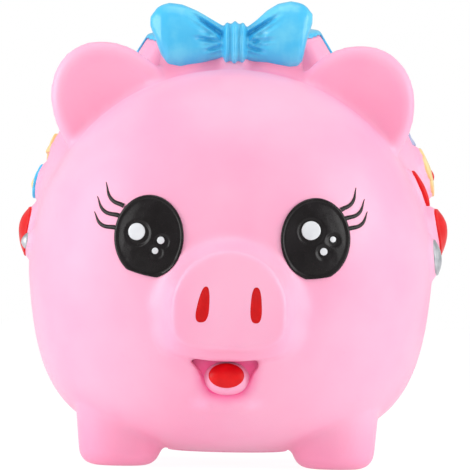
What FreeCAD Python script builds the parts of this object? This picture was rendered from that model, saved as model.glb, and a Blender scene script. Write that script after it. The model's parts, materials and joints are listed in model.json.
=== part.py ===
"""Pig-shaped coin bank of soft moulded vinyl, at its real size, in millimetres.

X runs to the pig's left, Y from its snout to its tail and Z up.  The origin is on the
surface the bank stands on, under the middle of the whole bank.  The hollow vinyl body is
a loft of rounded sections along Y.  Every offset of that loft is the same shape grown or
shrunk, which gives the wall, the thin painted pieces and the raised decorations.
"""

import FreeCAD, Part

import math
import os

from FreeCAD import Matrix, Placement, Rotation, Vector

# ---- driving dimensions of the body -------------------------------------------------
WALL = 3.0                  # thickness of the moulded vinyl
HALF_WIDTH = 80.6           # half the width at the cheeks
WAIST_Z = 75.5              # height of the widest section
BELLY_Z = 5.3               # lowest point of the belly
HEAD_TOP_Z = 157.1          # top of the forehead dome
BACK_TOP_Z = 165.5          # top of the back, under the saddle
FACE_Y = -74.0              # front of the face, behind the snout
RUMP_Y = 82.0               # rearmost point of the body
HEAD_Y = -14.0              # where the forehead dome is highest
BACK_Y = 30.0               # where the back is highest
LENGTH_POWER = 2.2          # roundness of the body seen from above and from the side
BELLY_POWER = 3.0           # the belly stays full towards both ends
HEAD_POWER = 2.05           # section of the forehead, nearly an ellipse
SHOULDER_POWER = 2.8        # section of the back, squarer
CHEEK_POWER = 2.7           # lower half of every section
CHEEK_TAPER, CHEEK_TAPER_TO = 0.017, 0.75       # how much the cheeks draw in, and down to where
SHOULDER_FROM_Y, SHOULDER_TO_Y = -8.0, 16.0
SOFT_MAX = 60               # how sharply the dome and the back meet in the neck
STATIONS = 30
SECTION_POINTS = 32
POLE_ANGLE = 0.08           # where the first and last sections stand, in radians

# ---- feet, ears, snout, mouth ---------------------------------------------------------
FOOT_X, FOOT_FRONT_Y, FOOT_REAR_Y = 42.2, -27.0, 36.0
FOOT_SOLE_R, FOOT_TOP_R, FOOT_HEIGHT, FOOT_ROUND = 15.6, 19.0, 40.0, 5.0
EAR_X, EAR_Y, EAR_Z = 46.0, -8.0, 139.4
EAR_WIDE, EAR_THICK, EAR_TALL, EAR_LEAN = 23.5, 7.5, 31.0, 38.3
EAR_RIM, EAR_CUP = 4.0, 8.5
FACE_X = 0.8                # the snout and the eyes sit a little to the pig's left
SNOUT_FRONT_Y, SNOUT_BASE_Y, SNOUT_Z = -88.0, -60.0, 64.5
SNOUT_OUTLINE = [(0, 20.4), (9.6, 18.4), (17.2, 11.8), (21.4, 3.0), (21.4, -6.4),
                 (17.9, -15.3), (10.2, -18.7), (0, -19.2)]
SNOUT_FLARE, SNOUT_ROUND, SNOUT_TIP_WALL = 1.14, 3.2, 3.5
NOSTRIL_X, NOSTRIL_Z, NOSTRIL_WIDE, NOSTRIL_TALL, NOSTRIL_DEEP = 10.1, 64.7, 4.4, 14.0, 1.4
NOSTRIL_LEAN = 4.0
MOUTH_TOP_Z, MOUTH_CORNER_X, MOUTH_CORNER_Z = 42.6, 15.6, 45.0
MOUTH_SIDE_X, MOUTH_SIDE_Z, MOUTH_BOTTOM_Z = 9.4, 34.9, 29.4
MOUTH_DEEP, LINING = 6.0, 1.0
TONGUE_Z, TONGUE_WIDE, TONGUE_TALL, TONGUE_THICK = 36.9, 6.9, 4.9, 5.0

# ---- eyes, as seen from the front -----------------------------------------------------
EYE_X, EYE_Z, EYE_WIDE, EYE_TALL, EYE_THICK = 32.5, 90.8, 13.8, 15.7, 0.9
GLINTS = {1: [(-1.8, 2.9, 3.8), (6.7, -0.3, 1.2), (3.2, -5.1, 1.5)],
          -1: [(-3.6, 1.3, 3.4), (5.2, -1.9, 1.5), (3.1, -6.0, 1.3)]}
# keyed by side (1 is the pig's left): x, z and radius of each glint from the eye's centre
GLINT_THICK = 0.5
LASHES = [((9.8, 11.7), (13.7, 14.6), (15.4, 20.0)),
          ((11.8, 8.2), (16.2, 10.8), (18.7, 15.5)),
          ((13.3, 4.6), (17.2, 6.3), (19.8, 10.7))]                 # root, middle and tip
LASH_WIDE, LASH_THICK, LASH_TAPER = 1.5, 0.6, 0.7     # the taper is the middle's share of the root's width

# ---- bow ------------------------------------------------------------------------------
BOW_Y = -7.0
# x, lowest z, highest z and half depth of each section of a loop
BOW_LOOP = [(3.0, 162.5, 174.9, 4.2), (8.0, 161.1, 178.7, 5.6), (14.0, 159.1, 182.3, 7.0),
            (20.0, 157.9, 184.4, 7.8), (26.0, 159.9, 184.0, 7.2), (30.2, 166.1, 181.5, 5.4),
            (32.2, 170.5, 178.7, 2.8)]
KNOT_HALF, KNOT_BOTTOM_Z, KNOT_TOP_Z, KNOT_DEEP, KNOT_ROUND = 5.0, 160.1, 175.7, 8.6, 3.0
SEAT_HALF, SEAT_DEEP, SEAT_FROM_Z, SEAT_TO_Z = 27.0, 6.0, 141.5, 164.5

# ---- saddle on the back, with the coin slot ---------------------------------------------
SADDLE_FRONT_Y, SADDLE_REAR_Y, SADDLE_LOW_Z, SADDLE_HIGH_Z = 9.0, 61.0, 147.5, 181.5
SADDLE_LOW_HALF, SADDLE_HIGH_HALF, SADDLE_CORNER = 51.0, 30.0, 16.0
SADDLE_RISE, SADDLE_SKIN, SADDLE_LIP = 10.0, 2.5, 2.5
SLOT_Y, SLOT_LONG, SLOT_WIDE = 34.0, 38.0, 5.0

# ---- raised decorations on the flanks ---------------------------------------------------
RELIEF_PAINT = 1.5          # thickness of the coloured cap on each pink pedestal
PEDESTAL_EDGE = 0.8         # how far the pedestal shows around its cap
HEARTS = {1: (8.0, 96.5, 11.5), -1: (8.0, 94.0, 12.0)}             # y, z and half width, by side
HEART_RISE = 6.5
HEART_DIP, HEART_LOBE, HEART_SIDE = (0.0, 0.42), (0.52, 0.86), (1.0, 0.36)
HEART_FLANK, HEART_TIP = (0.72, -0.32), (0.0, -0.95)                # in shares of the half width
COINS = {1: (-9.0, 84.1, 7.2), -1: (-11.0, 87.7, 3.2)}              # y, z and radius, by side
COIN_RISE = 4.0
FLOWERS = {1: (20.0, 117.2, 6.2, 4.6), -1: (23.0, 111.0, 4.4, 3.3)}
# by side: y and z, how far out the middle of each petal is, and a petal's radius
FLOWER_RISE, CENTRE_R, CENTRE_THICK = 5.0, 2.6, 1.2
STARS = {1: (32.5, 132.2, 8.0), -1: (30.0, 126.5, 7.4)}             # y, z and radius, by side
STAR_WAIST, STAR_RISE = 0.52, 4.5
LEAF_Y, LEAF_Z, LEAF_WIDE, LEAF_TALL, LEAF_RISE = -6.0, 111.5, 2.8, 7.0, 4.5     # the left flank alone
FLANK_FROM, FLANK_TO = 20.0, 110.0

# ---- belly opening and stopper ----------------------------------------------------------
STOPPER_Y, BOSS_R, BOSS_THICK = 5.0, 28.0, 5.4
HOLE_R, FLANGE_SEAT_R, FLANGE_THICK, SEAT_PLAY = 20.2, 24.3, 1.8, 0.1
STOPPER_R, STOPPER_CORE_R, FLANGE_R, FLANGE_ROUND, STOPPER_TALL = 20.1, 19.5, 24.0, 0.6, 12.0
RIB_ZS, RIB_TALL = (1.6, 4.0, 6.4), 1.2
CUP_WALL, FINGER_R, FINGER_DEEP, GRIP_WIDE, STOPPER_FLOOR = 1.8, 15.5, 7.0, 6.0, 1.8

# ---- tail -------------------------------------------------------------------------------
TAIL_Z, TAIL_TUBE, TAIL_BACK_Y, TAIL_ROOT = 97.5, 2.8, 88.0, 20.0
TAIL_CURLS = [(7.0, 180.0), (5.2, 180.0), (3.4, 120.0)]             # radius and sweep of each arc

FAR = 400.0


# ---- the body's shape ---------------------------------------------------------------------
def signed_power(value, power):
    return math.copysign(abs(value) ** power, value)


def bulge(distance, reach, power=LENGTH_POWER):
    """1 in the middle of a dome and 0 where it ends, reach away."""
    share = abs(distance) / reach
    return (1 - share ** power) ** (1 / power) if share < 1 else 0.0


def smooth_step(value, start, end):
    share = min(1.0, max(0.0, (value - start) / (end - start)))
    return share * share * (3 - 2 * share)


def girth(y, grow):
    """Half width, height above and below the waist, and the roundness above it, at station y."""
    reach = (RUMP_Y if y > 0 else -FACE_Y) + grow
    half = (HALF_WIDTH + grow) * bulge(y, reach)
    below = (WAIST_Z - BELLY_Z + grow) * bulge(y, reach, BELLY_POWER)
    dome = (HEAD_TOP_Z - WAIST_Z + grow) * bulge(y - HEAD_Y, HEAD_Y - FACE_Y + grow)
    back = (BACK_TOP_Z - WAIST_Z + grow) * bulge(y - BACK_Y, RUMP_Y - BACK_Y + grow)
    above = (dome ** SOFT_MAX + back ** SOFT_MAX) ** (1 / SOFT_MAX)
    shoulder = smooth_step(y, SHOULDER_FROM_Y, SHOULDER_TO_Y)
    return half, above, below, HEAD_POWER + (SHOULDER_POWER - HEAD_POWER) * shoulder


def draw_in(lift):
    """How far the cheeks draw in at a height from -1, the belly, to 1, the top."""
    return CHEEK_TAPER * math.sin(math.pi * min(1.0, max(0.0, -lift) / CHEEK_TAPER_TO))


def section(y, grow):
    """One closed section of the body, across Y."""
    half, above, below, power_above = girth(y, grow)
    points = []
    for k in range(SECTION_POINTS):
        turn = 2 * math.pi * k / SECTION_POINTS
        rise = math.sin(turn)
        power = power_above if rise >= 0 else CHEEK_POWER
        lift = signed_power(rise, 2 / power)
        x = half * signed_power(math.cos(turn), 2 / power) * (1 - draw_in(lift))
        points.append(Vector(x, y, WAIST_Z + (above if rise >= 0 else below) * lift))
    curve = Part.BSplineCurve()
    even = [k / SECTION_POINTS for k in range(SECTION_POINTS + 1)]      # alike in every section
    curve.interpolate(points, PeriodicFlag=True, Parameters=even)
    return Part.Wire([curve.toShape()])


def body(grow):
    """The body as a solid, grown by that much all round."""
    wires = []
    for k in range(STATIONS):
        turn = POLE_ANGLE + (math.pi - 2 * POLE_ANGLE) * k / (STATIONS - 1)
        reach = (-FACE_Y if turn < math.pi / 2 else RUMP_Y) + grow
        wires.append(section(-reach * math.cos(turn), grow))
    return Part.makeLoft(wires, True, False)


# ---- small helpers ------------------------------------------------------------------------
def ellipsoid(radii, centre, lean=0.0):
    """An ellipsoid leaned about Y, in degrees."""
    stretch = Matrix()
    stretch.scale(*radii)
    shape = Part.makeSphere(1).transformGeometry(stretch)
    shape.Placement = Placement(Vector(*centre), Rotation(Vector(0, 1, 0), lean))
    return shape


def face_of(edges):
    return Part.Face(Part.Wire(edges))


def arc(start, middle, end):
    return Part.Arc(*(Vector(x, y, 0) for x, y in (start, middle, end))).toShape()


def disc_face(radius):
    return face_of([Part.makeCircle(radius)])


def oval_face(half_x, half_y):
    shape = disc_face(1.0)
    stretch = Matrix()
    stretch.scale(half_x, half_y, 1)
    return shape.transformGeometry(stretch)


def forward(face, x, z, lean=0.0):
    """A bar of that outline through the face of the pig, seen from the front."""
    bar = face.extrude(Vector(0, 0, FAR))
    bar.rotate(Vector(0, 0, 0), Vector(0, 0, 1), lean)
    bar.Placement = Placement(Vector(x, 0, z), Rotation(Vector(1, 0, 0), 90)).multiply(bar.Placement)
    return bar


def sideways(face, y, z):
    """A bar of that outline through the pig's left flank, seen from that side."""
    bar = face.extrude(Vector(0, 0, FLANK_TO - FLANK_FROM))
    bar.Placement = Placement(Vector(FLANK_FROM, y, z), Rotation(Vector(1, 1, 1), 120))
    return bar


def on_side(side, shape):
    """The shape itself for the pig's left, 1, and its mirror image for the right, -1."""
    return shape if side > 0 else shape.mirror(Vector(0, 0, 0), Vector(1, 0, 0))


def joined(shapes):
    """Several shapes fused to one, with no seams left where faces continue."""
    return shapes[0].multiFuse(shapes[1:]).removeSplitter()


def group(shapes):
    """Separate solids kept in one node."""
    return Part.makeCompound([solid for shape in shapes for solid in shape.Solids])


# ---- parts of the body shell -----------------------------------------------------------------
def foot(x, y, shrink=0.0):
    cone = Part.makeCone(FOOT_SOLE_R - shrink, FOOT_TOP_R - shrink, FOOT_HEIGHT - shrink,
                         Vector(x, y, shrink))
    sole = min(cone.Edges, key=lambda edge: edge.BoundBox.ZMax)
    return cone.makeFillet(FOOT_ROUND - shrink / 2, [sole])


def feet(shrink=0.0):
    return [foot(x, y, shrink) for x in (-FOOT_X, FOOT_X) for y in (FOOT_FRONT_Y, FOOT_REAR_Y)]


def ear(side):
    """A leaf-shaped ear with a hollowed front and a thick rounded rim."""
    lean = side * EAR_LEAN
    leaf = ellipsoid((EAR_WIDE, EAR_THICK, EAR_TALL), (side * EAR_X, EAR_Y, EAR_Z), lean)
    cup = ellipsoid((EAR_WIDE - EAR_RIM, EAR_THICK, EAR_TALL - EAR_RIM),
                    (side * EAR_X, EAR_Y - EAR_CUP, EAR_Z), lean)
    return leaf.cut(cup)


def snout_wire(y, factor):
    right = [(x, z) for x, z in SNOUT_OUTLINE]
    left = [(-x, z) for x, z in reversed(SNOUT_OUTLINE[1:-1])]
    curve = Part.BSplineCurve()
    curve.interpolate([Vector(FACE_X + x * factor, y, SNOUT_Z + z * factor) for x, z in right + left],
                      PeriodicFlag=True)
    return Part.Wire([curve.toShape()])


def snout():
    block = Part.makeLoft([snout_wire(SNOUT_BASE_Y, SNOUT_FLARE), snout_wire(SNOUT_FRONT_Y, 1.0)], True, True)
    rim = min(block.Edges, key=lambda edge: edge.BoundBox.YMax)
    return block.makeFillet(SNOUT_ROUND, [rim])


def snout_hollow():
    inside = 1 - WALL / SNOUT_OUTLINE[3][0]
    tip = snout_wire(SNOUT_FRONT_Y + SNOUT_TIP_WALL, inside)
    return Part.makeLoft([snout_wire(SNOUT_BASE_Y, inside), tip], True, True)


def nostril_bar(side):
    return forward(oval_face(NOSTRIL_WIDE / 2, NOSTRIL_TALL / 2), FACE_X + side * NOSTRIL_X, NOSTRIL_Z,
                   -side * NOSTRIL_LEAN)


def mouth_face(margin=0.0):
    """The open mouth: a sagging upper lip over a rounded lower one."""
    corner = (MOUTH_CORNER_X + margin, MOUTH_CORNER_Z + margin)
    left_corner = (-corner[0], corner[1])
    side = (MOUTH_SIDE_X + margin, MOUTH_SIDE_Z)
    left_side = (-side[0], side[1])
    bottom = (0, MOUTH_BOTTOM_Z - margin)
    lip = arc(left_corner, (0, MOUTH_TOP_Z + margin), corner)
    jaw = arc(side, bottom, left_side)
    cheeks = [Part.LineSegment(Vector(*a, 0), Vector(*b, 0)).toShape()
              for a, b in ((corner, side), (left_side, left_corner))]
    return face_of([lip, cheeks[0], jaw, cheeks[1]])


def bow_loop(side):
    wires = []
    for x, low, high, deep in BOW_LOOP:
        tall = (high - low) / 2
        major, minor = max(tall, deep), min(tall, deep)
        circle = Part.Ellipse(Vector(side * x, BOW_Y, (low + high) / 2), major, minor)
        circle.Axis = Vector(side, 0, 0)
        circle.XAxis = Vector(0, 0, 1)
        wires.append(Part.Wire([circle.toShape()]))
    return Part.makeLoft(wires, True, False)


def bow():
    """Two puffed loops and the knot that gathers them, moulded in one."""
    knot = Part.makeBox(2 * KNOT_HALF, 2 * KNOT_DEEP, KNOT_TOP_Z - KNOT_BOTTOM_Z,
                        Vector(-KNOT_HALF, BOW_Y - KNOT_DEEP, KNOT_BOTTOM_Z))
    knot = knot.makeFillet(KNOT_ROUND, knot.Edges)
    return joined([knot, bow_loop(1), bow_loop(-1)])


def bow_seat():
    """The low pink ledge that the bow is set on."""
    oval = oval_face(SEAT_HALF, SEAT_DEEP).extrude(Vector(0, 0, SEAT_TO_Z - SEAT_FROM_Z))
    oval.translate(Vector(0, BOW_Y, SEAT_FROM_Z))
    return oval


def rounded_wire(half, front, rear, corner, z):
    plate = Part.makeBox(2 * half, rear - front, corner, Vector(-half, front, z))
    upright = [edge for edge in plate.Edges if edge.BoundBox.ZLength > corner / 2]
    plate = plate.makeFillet(corner, upright)
    return min(plate.Faces, key=lambda face: face.CenterOfMass.z).OuterWire


def saddle_block(shrink, front):
    """The tapered block whose sides slope down both flanks."""
    rear, corner = SADDLE_REAR_Y - shrink, SADDLE_CORNER - shrink
    low = rounded_wire(SADDLE_LOW_HALF - shrink, front, rear, corner, SADDLE_LOW_Z)
    high = rounded_wire(SADDLE_HIGH_HALF - shrink, front, rear, corner, SADDLE_HIGH_Z)
    return Part.makeLoft([low, high], True, True)


def coin_slot():
    half = SLOT_WIDE / 2
    straight = SLOT_LONG / 2 - half
    bar = Part.makeBox(SLOT_WIDE, 2 * straight, FAR, Vector(-half, SLOT_Y - straight, WAIST_Z))
    ends = [Part.makeCylinder(half, FAR, Vector(0, SLOT_Y + y, WAIST_Z)) for y in (-straight, straight)]
    return joined([bar] + ends)


# ---- flank decorations ------------------------------------------------------------------------
def heart_face(size):
    half = [(x * size, y * size) for x, y in (HEART_DIP, HEART_LOBE, HEART_SIDE, HEART_FLANK, HEART_TIP)]
    other = [(-x, y) for x, y in reversed(half)]
    return face_of([arc(*points) for points in (half[:3], half[2:], other[:3], other[2:])])


def star_face(radius):
    corners = []
    for k in range(10):
        turn = math.radians(36 * k - 90)
        reach = radius if k % 2 == 0 else radius * STAR_WAIST
        corners.append(Vector(reach * math.cos(turn), reach * math.sin(turn), 0))
    return Part.Face(Part.makePolygon(corners + corners[:1]))


def flower_bar(side, edge):
    y, z, petal_out, petal_r = FLOWERS[side]
    petals = []
    for k in range(5):
        turn = math.radians(90 + 72 * k)
        petals.append(sideways(disc_face(petal_r + edge), y + petal_out * math.cos(turn),
                               z + petal_out * math.sin(turn)))
    petals.append(sideways(disc_face(petal_out), y, z))
    return joined(petals)


def flank_bars(side):
    """For each decoration of one flank: the bars that cut its cap and its pedestal, and its rise."""
    heart_y, heart_z, heart_half = HEARTS[side]
    coin_y, coin_z, coin_r = COINS[side]
    star_y, star_z, star_r = STARS[side]
    bars = {
        "heart": (sideways(heart_face(heart_half), heart_y, heart_z),
                  sideways(heart_face(heart_half + PEDESTAL_EDGE), heart_y, heart_z), HEART_RISE),
        "silver_coin": (sideways(disc_face(coin_r), coin_y, coin_z),
                        sideways(disc_face(coin_r + PEDESTAL_EDGE), coin_y, coin_z), COIN_RISE),
        "flower": (flower_bar(side, 0), flower_bar(side, PEDESTAL_EDGE), FLOWER_RISE),
        "star": (sideways(star_face(star_r), star_y, star_z),
                 sideways(star_face(star_r + 2 * PEDESTAL_EDGE), star_y, star_z), STAR_RISE),
    }
    if side > 0:
        bars["leaf"] = (sideways(oval_face(LEAF_WIDE, LEAF_TALL), LEAF_Y, LEAF_Z),
                        sideways(oval_face(LEAF_WIDE + PEDESTAL_EDGE, LEAF_TALL + PEDESTAL_EDGE),
                                 LEAF_Y, LEAF_Z), LEAF_RISE)
    return bars


def relief(bar, pedestal_bar, rise, solids):
    """A raised decoration: its painted cap, and the pedestal under it."""
    cap = bar.common(solids[rise]).cut(solids[rise - RELIEF_PAINT])
    pedestal = pedestal_bar.common(solids[rise - RELIEF_PAINT])
    return cap, pedestal


# ---- stopper --------------------------------------------------------------------------------------
def stopper():
    """A ribbed push-in stopper with a grip bar across its finger recess."""
    at = Vector(0, STOPPER_Y, BELLY_Z)
    up = Vector(0, 0, 1)
    flange = Part.makeCylinder(FLANGE_R, FLANGE_THICK, at)
    rim = min(flange.Edges, key=lambda edge: edge.BoundBox.ZMax)
    flange = flange.makeFillet(FLANGE_ROUND, [rim])
    core = Part.makeCylinder(STOPPER_CORE_R, STOPPER_TALL, at)
    ribs = [Part.makeCylinder(STOPPER_R, RIB_TALL, at + up * (FLANGE_THICK + z)) for z in RIB_ZS]
    cup = Part.makeCylinder(STOPPER_CORE_R - CUP_WALL, STOPPER_TALL, at + up * (FINGER_DEEP + STOPPER_FLOOR))
    well = Part.makeCylinder(FINGER_R, FINGER_DEEP, at)
    bar = Part.makeBox(2 * FINGER_R, GRIP_WIDE, FINGER_DEEP,
                       at + Vector(-FINGER_R, -GRIP_WIDE / 2, 0))
    return joined([flange, core] + ribs).cut(cup).cut(well.cut(bar))


def belly_boss():
    return Part.makeCylinder(BOSS_R, BOSS_THICK, Vector(0, STOPPER_Y, BELLY_Z))


def belly_hole():
    seat = Part.makeCylinder(FLANGE_SEAT_R, FLANGE_THICK + SEAT_PLAY, Vector(0, STOPPER_Y, BELLY_Z))
    hole = Part.makeCylinder(HOLE_R, WAIST_Z, Vector(0, STOPPER_Y, BELLY_Z))
    below = Part.makeCylinder(BOSS_R, BELLY_Z, Vector(0, STOPPER_Y, 0))
    return joined([seat, hole, below])


# ---- tail -----------------------------------------------------------------------------------------
def tail(outer):
    """A flat curl of shrinking arcs, standing on the rump."""
    y = TAIL_BACK_Y - TAIL_TUBE
    start, turn = Vector(0, y, TAIL_Z - TAIL_CURLS[0][0]), 270.0
    root = Part.makeCylinder(TAIL_TUBE, TAIL_ROOT, start, Vector(0, -1, 0))
    pieces = [root, Part.makeSphere(TAIL_TUBE, start)]
    before = TAIL_CURLS[0][0]
    centre = Vector(0, y, TAIL_Z)
    for radius, sweep in TAIL_CURLS:
        outward = Vector(math.cos(math.radians(turn)), 0, math.sin(math.radians(turn)))
        centre = centre + outward * (before - radius)
        ring = Part.makeTorus(radius, TAIL_TUBE, Vector(0, 0, 0), Vector(0, 0, 1), -180, 180, sweep)
        ring.Placement = Placement(centre, Rotation(Vector(1, 0, 0), 90)
                                   .multiply(Rotation(Vector(0, 0, 1), turn)))
        turn += sweep
        before = radius
        pieces.append(ring)
    tip = Vector(math.cos(math.radians(turn)), 0, math.sin(math.radians(turn)))
    pieces.append(Part.makeSphere(TAIL_TUBE, centre + tip * before))
    return joined(pieces).cut(outer)


# ---- assembly ----------------------------------------------------------------------------------------
def lash_face(root, middle, tip):
    """One tapering, curling lash."""
    run = Vector(*middle, 0) - Vector(*root, 0)
    across = Vector(-run.y, run.x, 0).normalize() * (LASH_WIDE / 2)
    start, end = Vector(*root, 0), Vector(*tip, 0)
    centre = Vector(*middle, 0)
    outer = Part.Arc(start - across, centre - across * LASH_TAPER, end).toShape()
    inner = Part.Arc(end, centre + across * LASH_TAPER, start + across).toShape()
    base = Part.LineSegment(start + across, start - across).toShape()
    return face_of([outer, inner, base])


def make_nodes():
    """Every node of the bank, by name."""
    cap_rises = (HEART_RISE, COIN_RISE, FLOWER_RISE, STAR_RISE, LEAF_RISE)
    rises = {0.0, EYE_THICK, EYE_THICK + GLINT_THICK, LASH_THICK, SADDLE_RISE,
             SADDLE_RISE - SADDLE_SKIN, FLOWER_RISE + CENTRE_THICK}
    rises |= {rise for cap in cap_rises for rise in (cap, cap - RELIEF_PAINT)}
    solids = {rise: body(rise) for rise in rises}
    outer = solids[0.0]
    nodes = {}

    pedestals = []
    for side, name in ((1, "left"), (-1, "right")):
        # painted features of the face, thin and lying on the vinyl
        eye_x = FACE_X + side * EYE_X
        eye_bar = forward(oval_face(EYE_WIDE, EYE_TALL), eye_x, EYE_Z)
        nodes[f"eye_{name}"] = eye_bar.common(solids[EYE_THICK]).cut(outer)
        glint_bars = [forward(disc_face(radius), eye_x + x, EYE_Z + z) for x, z, radius in GLINTS[side]]
        nodes[f"eye_glints_{name}"] = group(
            [bar.common(solids[EYE_THICK + GLINT_THICK]).cut(solids[EYE_THICK]) for bar in glint_bars])
        lash_bars = [on_side(side, forward(lash_face(*lash), EYE_X, EYE_Z)) for lash in LASHES]
        for bar in lash_bars:
            bar.translate(Vector(FACE_X, 0, 0))
        nodes[f"eyelashes_{name}"] = group(
            [bar.common(solids[LASH_THICK]).cut(outer).cut(eye_bar) for bar in lash_bars])

        # decorations of the flank, each a cap on a pedestal of the casting
        for label, (bar, pedestal_bar, rise) in flank_bars(side).items():
            cap, pedestal = relief(on_side(side, bar), on_side(side, pedestal_bar), rise, solids)
            nodes[f"{label}_{name}"] = cap
            pedestals.append(pedestal)
        centre_bar = on_side(side, sideways(disc_face(CENTRE_R), *FLOWERS[side][:2]))
        nodes[f"flower_centre_{name}"] = (centre_bar.common(solids[FLOWER_RISE + CENTRE_THICK])
                                          .cut(solids[FLOWER_RISE]))

    # the saddle: a coloured cap over a pink pedestal that shows as a lip in front of it
    slot = coin_slot()
    core_block = saddle_block(SADDLE_SKIN, SADDLE_FRONT_Y - SADDLE_LIP)
    saddle_core = core_block.common(solids[SADDLE_RISE - SADDLE_SKIN])
    saddle = saddle_block(0.0, SADDLE_FRONT_Y).common(solids[SADDLE_RISE])
    nodes["slot_saddle"] = saddle.cut(saddle_core).cut(outer).cut(slot)

    # the hollow inside, which follows the outer shape one wall thickness in
    hollow_block = saddle_block(SADDLE_SKIN + WALL, SADDLE_FRONT_Y + WALL)
    saddle_hollow = hollow_block.common(body(SADDLE_RISE - SADDLE_SKIN - WALL))
    inner = body(-WALL)
    hollow = joined([inner, saddle_hollow, snout_hollow()] + feet(WALL))

    # mouth pocket with its lining and tongue
    mouth_bar = forward(mouth_face(), 0, 0)
    pocket_floor = body(-MOUTH_DEEP)
    lining_top = body(LINING - MOUTH_DEEP)
    mouth_boss = forward(mouth_face(WALL), 0, 0).common(inner).cut(body(-MOUTH_DEEP - WALL))
    nodes["mouth_lining"] = mouth_bar.common(lining_top).cut(pocket_floor)
    tongue_y = max(vertex.Point.y for vertex in nodes["mouth_lining"].Vertexes)
    tongue = ellipsoid((TONGUE_WIDE, TONGUE_THICK, TONGUE_TALL), (0, tongue_y, TONGUE_Z))
    nodes["tongue"] = tongue.cut(lining_top)
    mouth_pocket = mouth_bar.cut(pocket_floor)

    # the shell
    nodes["bow"] = bow()
    nodes["tail"] = tail(outer)
    solid = joined([outer, snout(), bow_seat(), saddle_core, ear(1), ear(-1), belly_boss()]
                   + pedestals + feet())
    shell = solid.cut(hollow.cut(belly_boss()).cut(mouth_boss))
    nostrils = {}
    for side, name in ((1, "left"), (-1, "right")):
        bar = nostril_bar(side)
        deep = Part.makeBox(FAR, NOSTRIL_DEEP, FAR, Vector(-FAR / 2, SNOUT_FRONT_Y, -FAR / 2))
        nostrils[name] = bar.common(deep)
        paint = Part.makeBox(FAR, NOSTRIL_DEEP / 2, FAR,
                             Vector(-FAR / 2, SNOUT_FRONT_Y + NOSTRIL_DEEP / 2, -FAR / 2))
        nodes[f"nostril_{name}"] = bar.common(paint)
    tools = [slot, belly_hole(), mouth_pocket, nodes["bow"]] + list(nostrils.values())
    nodes["body_shell"] = shell.cut(tools)
    nodes["belly_stopper"] = stopper()
    return nodes


def main():
    os.makedirs("parts", exist_ok=True)
    for name, shape in sorted(make_nodes().items()):
        shape.exportStep(f"parts/{name}.step")
        solid_count = len(shape.Solids)
        print(f"{name:22s} solids {solid_count}  valid {shape.isValid()}  volume {shape.Volume:10.1f} mm3")


main()
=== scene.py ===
# %% [markdown]
# # A pig-shaped coin bank of soft vinyl
# The bank is one hollow pink casting, sprayed with paint through masks: blue on the bow and on
# the saddle around the coin slot, black on the eyes, red in the nostrils and on the tongue, and
# several colours on the raised decorations of its flanks.  A soft stopper closes its belly.
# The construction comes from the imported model.  Everything here is in metres, in its frame:
# X to the pig's left, Y from snout to tail, Z up.

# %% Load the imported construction
import json
import math

import bpy
from mathutils import Matrix, Vector


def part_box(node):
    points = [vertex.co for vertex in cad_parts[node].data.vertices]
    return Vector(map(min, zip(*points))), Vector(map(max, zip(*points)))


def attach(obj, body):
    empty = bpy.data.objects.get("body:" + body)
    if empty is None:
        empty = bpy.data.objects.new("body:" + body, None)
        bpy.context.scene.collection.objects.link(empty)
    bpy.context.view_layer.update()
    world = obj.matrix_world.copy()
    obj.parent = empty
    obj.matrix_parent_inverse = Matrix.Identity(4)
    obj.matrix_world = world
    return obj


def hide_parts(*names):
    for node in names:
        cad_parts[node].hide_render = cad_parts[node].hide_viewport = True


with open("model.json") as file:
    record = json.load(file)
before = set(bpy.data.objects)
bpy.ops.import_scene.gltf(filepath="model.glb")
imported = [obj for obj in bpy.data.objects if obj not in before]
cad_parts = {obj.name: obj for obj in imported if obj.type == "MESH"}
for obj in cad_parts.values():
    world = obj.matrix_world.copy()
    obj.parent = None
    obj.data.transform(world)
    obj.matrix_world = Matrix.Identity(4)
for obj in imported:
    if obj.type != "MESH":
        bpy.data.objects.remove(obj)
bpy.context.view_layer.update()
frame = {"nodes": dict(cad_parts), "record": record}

print("nodes:", len(frame["nodes"]))

# %% [markdown]
# ## A few tools of the trade
# An operator acts on everything that is selected, so each helper first takes hold of its own
# piece.  `reshape` moves every point of a mesh by a rule, which is how a form that follows a
# formula is pressed into shape.

# %% Helpers for pieces
MM = 0.001


def let_go():
    """Leaves edit mode and selects nothing."""
    if bpy.context.object and bpy.context.object.mode != "OBJECT":
        bpy.ops.object.mode_set(mode="OBJECT")
    bpy.ops.object.select_all(action="DESELECT")


def take(*pieces):
    """Selects these pieces alone; the first is the active one."""
    let_go()
    for piece in pieces:
        piece.select_set(True)
    bpy.context.view_layer.objects.active = pieces[0]
    return pieces[0]


def call_it(name):
    """Names the piece just made and puts its place in its mesh."""
    piece = bpy.context.object
    piece.name = piece.data.name = name
    bpy.ops.object.transform_apply(location=True, rotation=True, scale=True)
    return piece


def modify(piece, kind, **settings):
    """Adds a modifier with those settings and applies it."""
    take(piece)
    modifier = piece.modifiers.new(kind.title(), kind)
    for name, value in settings.items():
        setattr(modifier, name, value)
    bpy.ops.object.modifier_apply(modifier=modifier.name)
    return piece


def reshape(piece, rule):
    """Moves every point of the piece to rule(point)."""
    for vertex in piece.data.vertices:
        vertex.co = rule(vertex.co.copy())
    piece.data.update()
    return piece


def outwards(piece):
    """Closes the seams and turns all faces outwards."""
    take(piece)
    bpy.ops.object.mode_set(mode="EDIT")
    bpy.ops.mesh.select_all(action="SELECT")
    bpy.ops.mesh.remove_doubles(threshold=0.01 * MM)
    bpy.ops.mesh.normals_make_consistent(inside=False)
    bpy.ops.object.mode_set(mode="OBJECT")
    return piece


def join(name, *pieces):
    take(*pieces)
    bpy.ops.object.join()
    return call_it(name)


def carve(piece, tool, operation="DIFFERENCE"):
    """Cuts the piece with the tool, or keeps only what they share, and uses the tool up."""
    modify(piece, "BOOLEAN", object=tool, operation=operation, solver="EXACT")
    bpy.data.objects.remove(tool)
    return piece


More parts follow.
